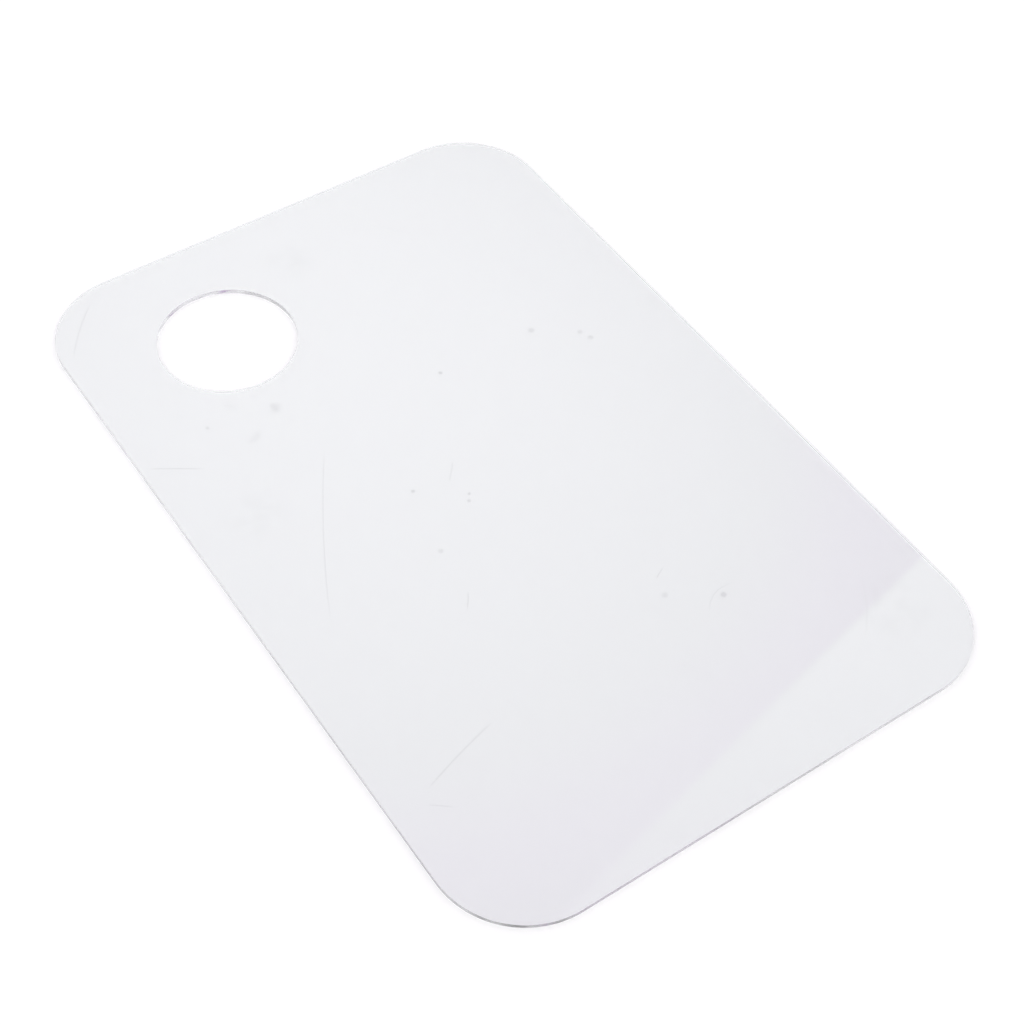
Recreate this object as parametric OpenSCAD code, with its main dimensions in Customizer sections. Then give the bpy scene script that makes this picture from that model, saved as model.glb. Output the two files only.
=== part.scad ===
// Shirt folding board: one clear sheet with rounded corners and a hand hole.
// The board lies flat. X runs across it, Y runs along it towards the hand hole, and Z points up.
// The origin is under the middle of the board, on the surface that it lies on.

/* [Sheet] */
// Width of the board, which sets how wide the folded shirt comes out
board_w = 235; // [160:1:320]
// Length of the board
board_l = 356; // [240:1:480]
// Thickness of the sheet
sheet_t = 2; // [1.5:0.5:6]

/* [Corners and edges] */
// Radius of the four outer corners
corner_r = 36; // [10:1:60]
// Width of the small bevel that takes the sharpness off every cut edge
edge_break = 0.25; // [0.1:0.05:0.5]

/* [Hand hole] */
// Diameter of the hand hole
hole_d = 59; // [30:1:80]
// Sheet left between the hole and the near long side
hole_side_web = 35; // [15:1:60]
// Sheet left between the hole and the short side
hole_end_web = 29; // [15:1:60]

/* [Hidden] */

$fn = 96;
cut_past = 1; // how far the hole's cutters run past the two faces
side_run = board_l - 2 * corner_r; // straight stretch of a long side
end_run = board_w - 2 * corner_r; // straight stretch of a short side
hole_x = -board_w / 2 + hole_side_web + hole_d / 2;
hole_y = board_l / 2 - hole_end_web - hole_d / 2;

// Section of the sheet from a middle line at x = 0 out to a bevelled edge at x = reach.
module edge_section(reach) {
    polygon([
        [0, 0],
        [reach - edge_break, 0],
        [reach, edge_break],
        [reach, sheet_t - edge_break],
        [reach - edge_break, sheet_t],
        [0, sheet_t],
    ]);
}

// Section of the sheet right across, with a bevelled edge at both ends.
module strip_section(width) {
    edge_section(width / 2);
    mirror([1, 0]) edge_section(width / 2);
}

// Rounded blank: a strip along the board, a strip across it, and a quarter disc in each corner.
module blank() {
    rotate([90, 0, 0])
        linear_extrude(height = side_run, center = true) strip_section(board_w);
    for (end = [0, 180])
        rotate([0, 0, end])
            translate([0, side_run / 2, 0])
                rotate([90, 0, 90])
                    linear_extrude(height = end_run, center = true) edge_section(corner_r);
    for (sx = [-1, 1], sy = [-1, 1])
        translate([sx * end_run / 2, sy * side_run / 2, 0])
            rotate([0, 0, sx > 0 ? (sy > 0 ? 0 : 270) : (sy > 0 ? 90 : 180)])
                rotate_extrude(angle = 90) edge_section(corner_r);
}

// Everything that is cut away for the hand hole: the bore and the bevel at its two rims.
module hand_hole() {
    rim_r = hole_d / 2 + edge_break + cut_past;
    translate([hole_x, hole_y, 0]) {
        translate([0, 0, -cut_past]) cylinder(d = hole_d, h = sheet_t + 2 * cut_past);
        translate([0, 0, -cut_past])
            cylinder(r1 = rim_r, r2 = hole_d / 2, h = edge_break + cut_past);
        translate([0, 0, sheet_t - edge_break])
            cylinder(r1 = hole_d / 2, r2 = rim_r, h = edge_break + cut_past);
    }
}

module folding_board() {
    color([0.93, 0.94, 0.96, 0.35])
        difference() {
            blank();
            hand_hole();
        }
}

folding_board();
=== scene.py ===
import math

import bpy
from mathutils import Matrix, Vector


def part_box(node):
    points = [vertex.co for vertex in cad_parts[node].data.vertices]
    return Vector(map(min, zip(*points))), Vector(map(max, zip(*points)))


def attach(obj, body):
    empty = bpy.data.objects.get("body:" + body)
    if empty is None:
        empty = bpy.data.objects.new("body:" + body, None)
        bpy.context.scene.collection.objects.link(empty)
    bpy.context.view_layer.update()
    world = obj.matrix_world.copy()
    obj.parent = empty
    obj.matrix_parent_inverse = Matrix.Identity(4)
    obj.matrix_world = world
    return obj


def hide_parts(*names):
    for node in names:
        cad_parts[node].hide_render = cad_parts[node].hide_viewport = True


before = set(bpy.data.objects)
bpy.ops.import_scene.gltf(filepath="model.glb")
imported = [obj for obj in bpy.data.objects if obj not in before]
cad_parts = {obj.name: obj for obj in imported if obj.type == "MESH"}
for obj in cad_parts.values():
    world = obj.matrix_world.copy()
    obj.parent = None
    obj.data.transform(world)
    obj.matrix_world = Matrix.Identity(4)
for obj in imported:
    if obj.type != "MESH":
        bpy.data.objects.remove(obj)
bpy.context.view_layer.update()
print("frame: one sheet,", len(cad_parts), "node")


def startAlone():
    # nothing else may be selected when an operator runs
    if bpy.context.object and bpy.context.object.mode != "OBJECT":
        bpy.ops.object.mode_set(mode="OBJECT")
    bpy.ops.object.select_all(action="DESELECT")


def pick(obj, kind, wanted):
    # selects the vertices, edges or faces for which wanted() says yes, and stays in edit mode
    bpy.ops.object.mode_set(mode="EDIT")
    bpy.ops.mesh.select_mode(type=kind)
    bpy.ops.mesh.select_all(action="DESELECT")
    bpy.ops.object.mode_set(mode="OBJECT")
    parts = {"VERT": obj.data.vertices, "EDGE": obj.data.edges, "FACE": obj.data.polygons}[kind]
    for part in parts:
        part.select = wanted(part)
    bpy.ops.object.mode_set(mode="EDIT")


cameraLook = {
    "azimuth": -36.55,    # degrees round from straight along +Y
    "elevation": 50.93,   # degrees above the table
    "roll": 2.9,          # how far the horizon tips
    "distance": 0.7456,   # metres from the aim point
    "lens": 66.76,        # mm
    "sensor": 36,         # mm
    "aimX": -0.005,       # aim point on the board, from its middle
    "aimY": -0.0229,
}


def placeCamera(look, topZ):
    turn = math.radians(look["azimuth"])
    lift = math.radians(look["elevation"])
    roll = math.radians(look["roll"])
    back = Vector((math.sin(turn) * math.cos(lift), -math.cos(turn) * math.cos(lift), math.sin(lift)))
    level = Vector((math.cos(turn), math.sin(turn), 0))
    steep = back.cross(level)
    right = math.cos(roll) * level + math.sin(roll) * steep
    up = back.cross(right)
    data = bpy.data.cameras.new("camera")
    data.lens = look["lens"]
    data.sensor_width = look["sensor"]
    cam = bpy.data.objects.new("camera", data)
    bpy.context.scene.collection.objects.link(cam)
    spot = Vector((look["aimX"], look["aimY"], topZ)) + back * look["distance"]
    turned = Matrix((right, up, back)).transposed().to_4x4()
    cam.matrix_world = Matrix.Translation(spot) @ turned
    bpy.context.scene.camera = cam


boardShape = {
    "cornerRadius": 0.036,
    "cornerSteps": 40,     # faces round each corner
    "holeRadius": 0.0295,
    "holeSteps": 144,      # faces round the hand hole
    "holeSideWeb": 0.035,  # sheet left between the hole and the long side
    "holeEndWeb": 0.029,   # sheet left between the hole and the short side
    "edgeBreak": 0.00012,  # rounding of every cut edge
    "breakSteps": 8,
    "smoothBelow": 40,     # degrees between two faces that shade as one
    "rimWidth": 0.0012,    # flat strip kept beside every cut edge
}


def makeBoard(shape):
    low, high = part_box("folding_board")
    wide, long, thick = high - low
    middle = (low + high) / 2
    holeX = low.x + shape["holeSideWeb"] + shape["holeRadius"]
    holeY = high.y - shape["holeEndWeb"] - shape["holeRadius"]
    rim = shape["rimWidth"]

    # outline: a block with its four upright edges rounded, cut down to its bottom face
    startAlone()
    bpy.ops.mesh.primitive_cube_add(size=1, location=(middle.x, middle.y, low.z + thick / 2))
    board = bpy.context.object
    board.name = board.data.name = "clear_board"
    board.scale = (wide, long, thick)
    bpy.ops.object.transform_apply(location=True, rotation=False, scale=True)
    ends = board.data.vertices
    pick(board, "EDGE", lambda e: abs(ends[e.vertices[0]].co.z - ends[e.vertices[1]].co.z) > thick / 2)
    bpy.ops.mesh.bevel(offset=shape["cornerRadius"], segments=shape["cornerSteps"], affect="EDGES")
    pick(board, "FACE", lambda f: f.center.z > low.z + thick / 4)
    bpy.ops.mesh.delete(type="FACE")

    # a narrow strip just inside the outline, and the middle opened
    pick(board, "FACE", lambda f: True)
    bpy.ops.mesh.inset(thickness=rim)
    pick(board, "FACE", lambda f: f.area > wide * long / 2)
    bpy.ops.mesh.delete(type="ONLY_FACE")

    # hand hole: a disc with a strip round the hole, and its middle opened
    bpy.ops.mesh.primitive_circle_add(vertices=shape["holeSteps"], radius=shape["holeRadius"] + rim,
                                      fill_type="NGON", location=(holeX, holeY, low.z))
    bpy.ops.mesh.inset(thickness=rim)
    pick(board, "FACE", lambda f: f.area > shape["holeRadius"] ** 2)
    bpy.ops.mesh.delete(type="ONLY_FACE")

    def onInnerLoop(v):
        fromHole = math.hypot(v.co.x - holeX, v.co.y - holeY)
        if abs(fromHole - shape["holeRadius"] - rim) < rim / 2:
            return True
        if fromHole < shape["holeRadius"] + rim:
            return False
        # distance in from the rounded outline
        r = shape["cornerRadius"]
        dx = max(abs(v.co.x - middle.x) - (wide / 2 - r), 0)
        dy = max(abs(v.co.y - middle.y) - (long / 2 - r), 0)
        return r - math.hypot(dx, dy) > rim / 2

    # the sheet between the two strips
    pick(board, "VERT", onInnerLoop)
    bpy.ops.mesh.select_mode(type="EDGE")
    bpy.ops.mesh.fill(use_beauty=True)

    # thickness
    pick(board, "FACE", lambda f: True)
    bpy.ops.mesh.normals_make_consistent(inside=False)
    bpy.ops.mesh.extrude_region_move(TRANSFORM_OT_translate={"value": (0, 0, thick)})
    bpy.ops.mesh.select_all(action="SELECT")
    bpy.ops.mesh.normals_make_consistent(inside=False)
    bpy.ops.object.mode_set(mode="OBJECT")

    # every edge between a face and a cut wall loses its sharpness
    sides = {}
    for f in board.data.polygons:
        for key in f.edge_keys:
            sides.setdefault(key, set()).add(abs(f.normal.z) > 0.5)
    pick(board, "EDGE", lambda e: len(sides[e.key]) == 2)
    bpy.ops.mesh.bevel(offset=shape["edgeBreak"], segments=shape["breakSteps"], affect="EDGES")
    bpy.ops.object.mode_set(mode="OBJECT")

    # round edges shade smooth, and both faces stay dead flat
    bpy.ops.object.shade_smooth_by_angle(angle=math.radians(shape["smoothBelow"]))
    bpy.ops.object.modifier_add(type="WEIGHTED_NORMAL")
    bpy.context.object.modifiers[-1].keep_sharp = True
    bpy.ops.object.modifier_apply(modifier=bpy.context.object.modifiers[-1].name)
    return board


class Wire:
    # a socket that can be added, multiplied and so on, each step as a Math node
    def __init__(self, tree, socket):
        self.tree, self.socket = tree, socket

    def node(self, kind, settings=None, **values):
        # any node: its type, settings first, then inputs by name or as i0, i1 and so on
        made = self.tree.nodes.new(kind)
        for key, value in (settings or {}).items():
            setattr(made, key, value)
        for key, value in values.items():
            place = made.inputs[int(key[1:])] if key[1:].isdigit() else made.inputs[key.replace("_", " ")]
            if isinstance(value, Wire):
                self.tree.links.new(value.socket, place)
            else:
                place.default_value = value
        return Wire(self.tree, made.outputs[0])

    def out(self, name):
        # another output of the node that this socket belongs to
        return Wire(self.tree, self.socket.node.outputs[name])

    def into(self, shader, name):
        self.tree.links.new(self.socket, self.tree.nodes[shader].inputs[name])

    def maths(self, operation, *others):
        values = {"i%d" % k: v for k, v in enumerate((self,) + others)}
        return self.node("ShaderNodeMath", {"operation": operation}, **values)

    def __add__(self, other):
        return self.maths("ADD", other)

    def __sub__(self, other):
        return self.maths("SUBTRACT", other)

    def __rsub__(self, other):
        return self * -1 + other

    def __mul__(self, other):
        return self.maths("MULTIPLY", other)

    def __truediv__(self, other):
        return self.maths("DIVIDE", other)

    __radd__, __rmul__ = __add__, __mul__

    def step(self, start, end):
        # 0 before start, 1 after end, and smooth between
        return self.node("ShaderNodeMapRange", {"interpolation_type": "SMOOTHSTEP"},
                         Value=self, From_Min=start, From_Max=end)

    def blend(self, first, second):
        # a colour between two, by this share
        mixed = self.node("ShaderNodeMix", {"data_type": "RGBA"}, i0=self, i6=first, i7=second)
        return Wire(self.tree, mixed.socket.node.outputs[2])


def newMaterial(name, fixed):
    # a material whose main shader has the fixed values set, with its Object coordinates
    mat = bpy.data.materials.new(name)
    mat.use_nodes = True
    for key, value in fixed.items():
        mat.node_tree.nodes["Principled BSDF"].inputs[key].default_value = value
    coords = mat.node_tree.nodes.new("ShaderNodeTexCoord")
    return mat, Wire(mat.node_tree, coords.outputs["Object"])


clearLook = {
    "tint": (0.893, 0.902, 0.906, 1),      # white light after one pass through the sheet
    "wornTint": (0.50, 0.50, 0.51, 1),     # the same under a deep scratch or a stuck speck
    "gloss": 0.015,                        # roughness of the clean face
    "greaseGloss": 0.10,
    "scratchGloss": 0.25,
    "refraction": 1.49,
    "ripple": 0.12,                        # length of the slow waves in the sheet
    "rippleDepth": 0.00002,
    "cloudScale": 22.0,                    # patches of a little more or less gloss, to the metre
    "cloudDepth": 0.5,
    "greasePatch": 0.005,                  # finger marks are broken up this fine
    "greaseBreaks": (0.38, 0.62),
    "hairLong": 0.05,                      # fine wiping marks: their length and width
    "hairWide": 0.0004,
    "hairTurns": (12, 74),                 # the ways they run, degrees
    "hairFew": (0.68, 0.76),               # higher numbers leave fewer of them
    "hairPlain": 0.02,
    "hairGrease": 0.15,
    "dustCell": 0.017,                     # one grain of dust in a patch this wide
    "dustSize": 0.0004,
    "dustSoft": 0.4,                       # middle of a grain, before it fades
    "dustPlain": 0.25,
    "topShare": (0.7, 0.8),                # marks lie above this share of the thickness
    "scratchFades": (0.2, 0.75),           # a scratch is full between these shares of its length
    # long scratches: start, end, bow of the middle, width, how plain they are
    "scratches": [
        ((-0.0474, 0.0489), (-0.0940, -0.0345), -0.0019, 0.0010, 0.22),
        ((-0.101, -0.1105), (-0.064, -0.099), 0.0006, 0.0013, 0.27),
        ((-0.1151, 0.0742), (-0.0942, 0.0608), 0.0002, 0.0011, 0.3),
        ((-0.1125, 0.1435), (-0.090, 0.171), 0.0012, 0.0016, 0.2),
        ((-0.010, 0.012), (-0.018, 0.003), 0.0003, 0.0013, 0.2),
        ((-0.104, -0.1154), (-0.0962, -0.1214), 0.0001, 0.0009, 0.25),
        ((-0.041, -0.046), (-0.046, -0.053), 0.0002, 0.0010, 0.3),
        ((0.023, -0.080), (0.029, -0.077), 0.0002, 0.0009, 0.3),
        ((0.030, -0.104), (0.048, -0.098), 0.0035, 0.0007, 0.25),
        ((0.092, -0.118), (0.071, -0.146), 0.0020, 0.0006, 0.15),
        ((0.020, 0.160), (0.062, 0.118), 0.0010, 0.0006, 0.15),
    ],
    # nicks and stuck specks: place, radius, how plain
    "specks": [
        (0.058, 0.055, 0.0019, 0.35), (0.075, 0.043, 0.0017, 0.3), (0.077, 0.038, 0.0017, 0.35),
        (0.012, 0.055, 0.0013, 0.45), (-0.032, 0.007, 0.0012, 0.5), (-0.014, -0.006, 0.0010, 0.45),
        (-0.016, -0.009, 0.0011, 0.45), (0.040, -0.100, 0.0017, 0.45), (0.021, -0.088, 0.0018, 0.25),
        (-0.084, 0.080, 0.0012, 0.3), (-0.039, -0.024, 0.0015, 0.3),
    ],
    # finger marks: place, radius, how plain
    "fingerMarks": [
        (-0.056, 0.075, 0.004, 0.27), (-0.071, 0.067, 0.005, 0.2), (-0.070, 0.086, 0.004, 0.12),
        (-0.006, 0.146, 0.014, 0.08), (0.092, -0.140, 0.018, 0.06), (-0.090, 0.030, 0.016, 0.06),
    ],
}


def plainest(marks):
    # where marks lie over each other, the plainest one shows
    top = marks[0]
    for mark in marks[1:]:
        top = top.maths("MAXIMUM", mark)
    return top


def scratchLine(x, y, fades, start, end, bow, width, plain):
    # a thin line that bows to one side and fades out at both ends
    dx, dy = end[0] - start[0], end[1] - start[1]
    run = math.hypot(dx, dy)
    share = ((x - start[0]) * dx + (y - start[1]) * dy) / run ** 2
    aside = ((y - start[1]) * dx - (x - start[0]) * dy) / run - share * (1 - share) * (4 * bow)
    line = 1 - aside.maths("ABSOLUTE").step(0, width / 2)
    return line * share.step(0, fades[0]) * (1 - share.step(fades[1], 1)) * plain


def roundSpot(x, y, placeX, placeY, radius, plain):
    away = (x - placeX) * (x - placeX) + (y - placeY) * (y - placeY)
    return (1 - away.step(0, radius ** 2)) * plain


def hairMarks(where, look, turn):
    # fine streaks that all run one way
    laid = where.node("ShaderNodeMapping", {"vector_type": "TEXTURE"}, Vector=where,
                      Rotation=(0, 0, math.radians(turn)), Scale=(look["hairLong"], look["hairWide"], 1))
    return where.node("ShaderNodeTexNoise", Vector=laid, Scale=1.0, Detail=0.0).step(*look["hairFew"])


def makeClear(look, topZ):
    mat, where = newMaterial("clearSheet", {"IOR": look["refraction"], "Transmission Weight": 1.0})
    split = where.node("ShaderNodeSeparateXYZ", Vector=where)
    x, y = split.out("X"), split.out("Y")
    onTop = split.out("Z").step(*[topZ * share for share in look["topShare"]])

    lines = plainest([scratchLine(x, y, look["scratchFades"], *mark) for mark in look["scratches"]])
    dots = plainest([roundSpot(x, y, *mark) for mark in look["specks"]])
    grease = plainest([roundSpot(x, y, *mark) for mark in look["fingerMarks"]])
    patchy = where.node("ShaderNodeTexNoise", Vector=where, Scale=1 / look["greasePatch"], Detail=2.0)
    grease = grease * patchy.step(*look["greaseBreaks"])
    hair = plainest([hairMarks(where, look, turn) for turn in look["hairTurns"]])
    cells = where.node("ShaderNodeTexVoronoi", Vector=where, Scale=1 / look["dustCell"])
    grain = look["dustSize"] / look["dustCell"]
    dust = 1 - cells.step(grain * look["dustSoft"], grain)

    # dirt and scratches take a little light away
    deep = lines.maths("MAXIMUM", dots)
    worn = (deep + grease + hair * look["hairPlain"] + dust * look["dustPlain"]) * onTop
    worn.blend(look["tint"], look["wornTint"]).into("Principled BSDF", "Base Color")

    cloudy = where.node("ShaderNodeTexNoise", Vector=where, Scale=look["cloudScale"], Detail=2.0)
    marked = deep * look["scratchGloss"] + (grease + hair * look["hairGrease"]) * look["greaseGloss"]
    rough = (cloudy * look["cloudDepth"] + (1 - look["cloudDepth"] / 2)) * look["gloss"] + marked * onTop
    rough.into("Principled BSDF", "Roughness")

    ripple = where.node("ShaderNodeTexNoise", Vector=where, Scale=1 / look["ripple"], Detail=0.0)
    bump = where.node("ShaderNodeBump", Strength=1.0, Distance=1.0, Height=ripple * look["rippleDepth"])
    bump.into("Principled BSDF", "Normal")
    return mat


edgeLook = {
    # the edge's colour runs between pale and dim: the blend carries painted shade towards the far end and
    # painted light and shade in stretches, besides the cutter's marks
    "pale": (0.84, 0.845, 0.86, 1),
    "dim": (0.455, 0.46, 0.475, 1),
    "endShadeFrom": 0.12,       # painted shade: the edge gets darker from here towards the end away from the hole
    "endShadeTo": -0.13,
    "endShadeShare": 0.5,
    "leastGloss": 0.2,        # share of the roughness that is there everywhere
    "gloss": 0.12,
    "refraction": 1.49,
    "stretch": 0.03,          # length of the pale and dim stretches along the edge, painted light and shade
    "stretchBand": (0.35, 0.65),
    "stretchShare": 0.35,
    "cutPitch": 0.0005,       # spacing of the cutter's marks, which run up the edge
    "cutDrawn": 0.04,
    "cutBand": (0.35, 0.7),
    "cutShare": 0.15,
    "faceSlope": 0.5,         # the cut edge ends where the rounding tips up more than this
}


def makeCutEdge(look):
    mat, where = newMaterial("cutEdge", {"IOR": look["refraction"], "Transmission Weight": 1.0})
    # painted light and shade: pale and dim stretches in the edge's colour; the same noise also varies its
    # gloss
    stretch = where.node("ShaderNodeTexNoise", Vector=where, Scale=1 / look["stretch"], Detail=1.0)
    upright = where.node("ShaderNodeMapping", Vector=where, Scale=(1, 1, look["cutDrawn"]))
    cuts = where.node("ShaderNodeTexNoise", Vector=upright, Scale=1 / look["cutPitch"], Detail=1.0)
    y = where.node("ShaderNodeSeparateXYZ", Vector=where).out("Y")
    # painted shade: the edge's colour darkens towards the end away from the hole
    paintedEndShade = 1 - y.step(look["endShadeTo"], look["endShadeFrom"])
    shade = stretch.step(*look["stretchBand"]) * look["stretchShare"]
    shade = shade + cuts.step(*look["cutBand"]) * look["cutShare"] + paintedEndShade * look["endShadeShare"]
    shade.blend(look["pale"], look["dim"]).into("Principled BSDF", "Base Color")
    rough = (stretch + cuts + look["leastGloss"]) * look["gloss"]
    rough.into("Principled BSDF", "Roughness")
    return mat


studioLook = {
    "floorWide": 12,         # metres
    "floorTone": 0.95,
    "floorDrop": 0.0002,     # air under the board, metres
    "backdrop": 1.1,         # what the camera sees beyond the floor
    "power": 1.182,          # strength of all the light below
    "tent": 1.15,            # white tent all round
    "waist": 0.88,           # a little less half way up
    "waistBand": (0.5, 0.8),
    "horizon": 0.70,         # and less again just above the floor
    "horizonBand": (0.1, 0.4),
    "lowest": 0.03,          # slopes are measured down to this height
    "gapX": 0.49,            # the gap in the tent: its middle, as slopes from straight up
    "gapY": 0.72,
    "gapWide": 0.75,         # and how far it reaches before it starts to close
    "gapHigh": 0.95,
    "gapFade": 0.5,
    "gap": 0.32,             # tone in the gap
    "gapTint": (1.1, 0.66, 1.3, 1),
    "tintBand": (0.38, 0.78),
    "glow": 1.32,            # brightest spot in it
    "glowFall": 5.6,         # how fast it fades away from that spot
    "glowX": 0.44,           # its place
    "glowY": 0.869,
    "glowLong": 0.86,
    "boxEdge": 0.80,         # soft box over the near half: tone along its far edge
    "boxLean": 1.6,          # how fast that grows towards +X
    "boxTurn": 0.231,        # slope of that edge
    "boxStart": 0.3104,      # how far it is past straight up
    "boxSoft": 0.008,        # width of the edge's fade
    "boxMost": 1.0,          # and its brightest tone
    "boxSag": 0.12,          # how much dimmer it is behind its edge
    "boxSagWide": 0.06,
    "boxFade": (0.12, 0.7),  # and where it turns into the tent
    "lightRuns": 400,        # turns that light may take inside the sheet, enough to run its length
}


def lightTent(look):
    world = bpy.data.worlds.new("studio")
    bpy.context.scene.world = world
    world.use_nodes = True
    tree = world.node_tree
    where = Wire(tree, tree.nodes.new("ShaderNodeTexCoord").outputs["Generated"])
    split = where.node("ShaderNodeSeparateXYZ", Vector=where)
    high = split.out("Z").maths("MAXIMUM", look["lowest"])
    slopeX = split.out("X") / high
    slopeY = split.out("Y") / high

    # the white tent
    belowTop = (1 - high.step(*look["waistBand"])) * (look["tent"] - look["waist"])
    nearFloor = (1 - high.step(*look["horizonBand"])) * (look["waist"] - look["horizon"])
    tent = look["tent"] - belowTop - nearFloor

    # the gap in it, with its glow
    glowAside = slopeX - look["glowX"]
    glowAlong = (slopeY - look["glowY"]) * look["glowLong"]
    glow = look["glow"] - (glowAside * glowAside + glowAlong * glowAlong) * look["glowFall"]
    gapTone = glow.maths("MAXIMUM", look["gap"])
    gapAside = (slopeX - look["gapX"]) / look["gapWide"]
    gapAlong = (slopeY - look["gapY"]) / look["gapHigh"]
    inGap = 1 - (gapAside * gapAside + gapAlong * gapAlong).step(look["gapFade"], 1.0)

    # the soft box over the near half
    box = look["boxStart"] - slopeY + slopeX * look["boxTurn"]
    inBox = box.step(-look["boxSoft"] / 2, look["boxSoft"] / 2)
    boxTone = look["boxEdge"] + (slopeX - look["gapX"]) * look["boxLean"]
    boxTone = boxTone.maths("MINIMUM", look["boxMost"]) - box.step(0.0, look["boxSagWide"]) * look["boxSag"]
    faded = box.step(*look["boxFade"])
    boxTone = boxTone * (1 - faded) + faded * look["tent"]
    gapTone = gapTone * (1 - inBox) + boxTone * inBox
    light = tent * (1 - inGap) + gapTone * inGap

    # the camera itself sees plain white, and the tint is only in the light that reaches the board
    seen = where.node("ShaderNodeLightPath").out("Is Camera Ray")
    tinted = (1 - light.step(*look["tintBand"])) * inGap * (1 - seen)
    tinted.blend((1, 1, 1, 1), look["gapTint"]).into("Background", "Color")
    light = light * look["power"] * (1 - seen) + seen * look["backdrop"]
    light.into("Background", "Strength")


def makeStage(look):
    startAlone()
    bpy.ops.mesh.primitive_plane_add(size=look["floorWide"], location=(0, 0, -look["floorDrop"]))
    floor = bpy.context.object
    floor.name = "floor"
    mat = newMaterial("floorWhite", {"Roughness": 1.0, "Specular IOR Level": 0.0,
                                     "Base Color": (look["floorTone"],) * 3 + (1,)})[0]
    floor.data.materials.append(mat)
    lightTent(look)
    scene = bpy.context.scene
    scene.view_settings.view_transform = "Standard"
    scene.cycles.blur_glossy = 0
    scene.cycles.max_bounces = look["lightRuns"]
    scene.cycles.glossy_bounces = look["lightRuns"]
    scene.cycles.transmission_bounces = look["lightRuns"]


low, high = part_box("folding_board")
placeCamera(cameraLook, high.z)
print("camera placed")

board = makeBoard(boardShape)
print("board shaped:", len(board.data.vertices), "vertices,", len(board.data.polygons), "faces")

board.data.materials.append(makeClear(clearLook, high.z))
board.data.materials.append(makeCutEdge(edgeLook))
startAlone()
board.select_set(True)
bpy.context.view_layer.objects.active = board
pick(board, "FACE", lambda f: abs(f.normal.z) < edgeLook["faceSlope"])
board.active_material_index = 1
bpy.ops.object.material_slot_assign()
bpy.ops.object.mode_set(mode="OBJECT")
print("clear sheet and cut edge materials on")

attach(board, "root")
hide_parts("folding_board")
makeStage(studioLook)
print("stage and light tent set")
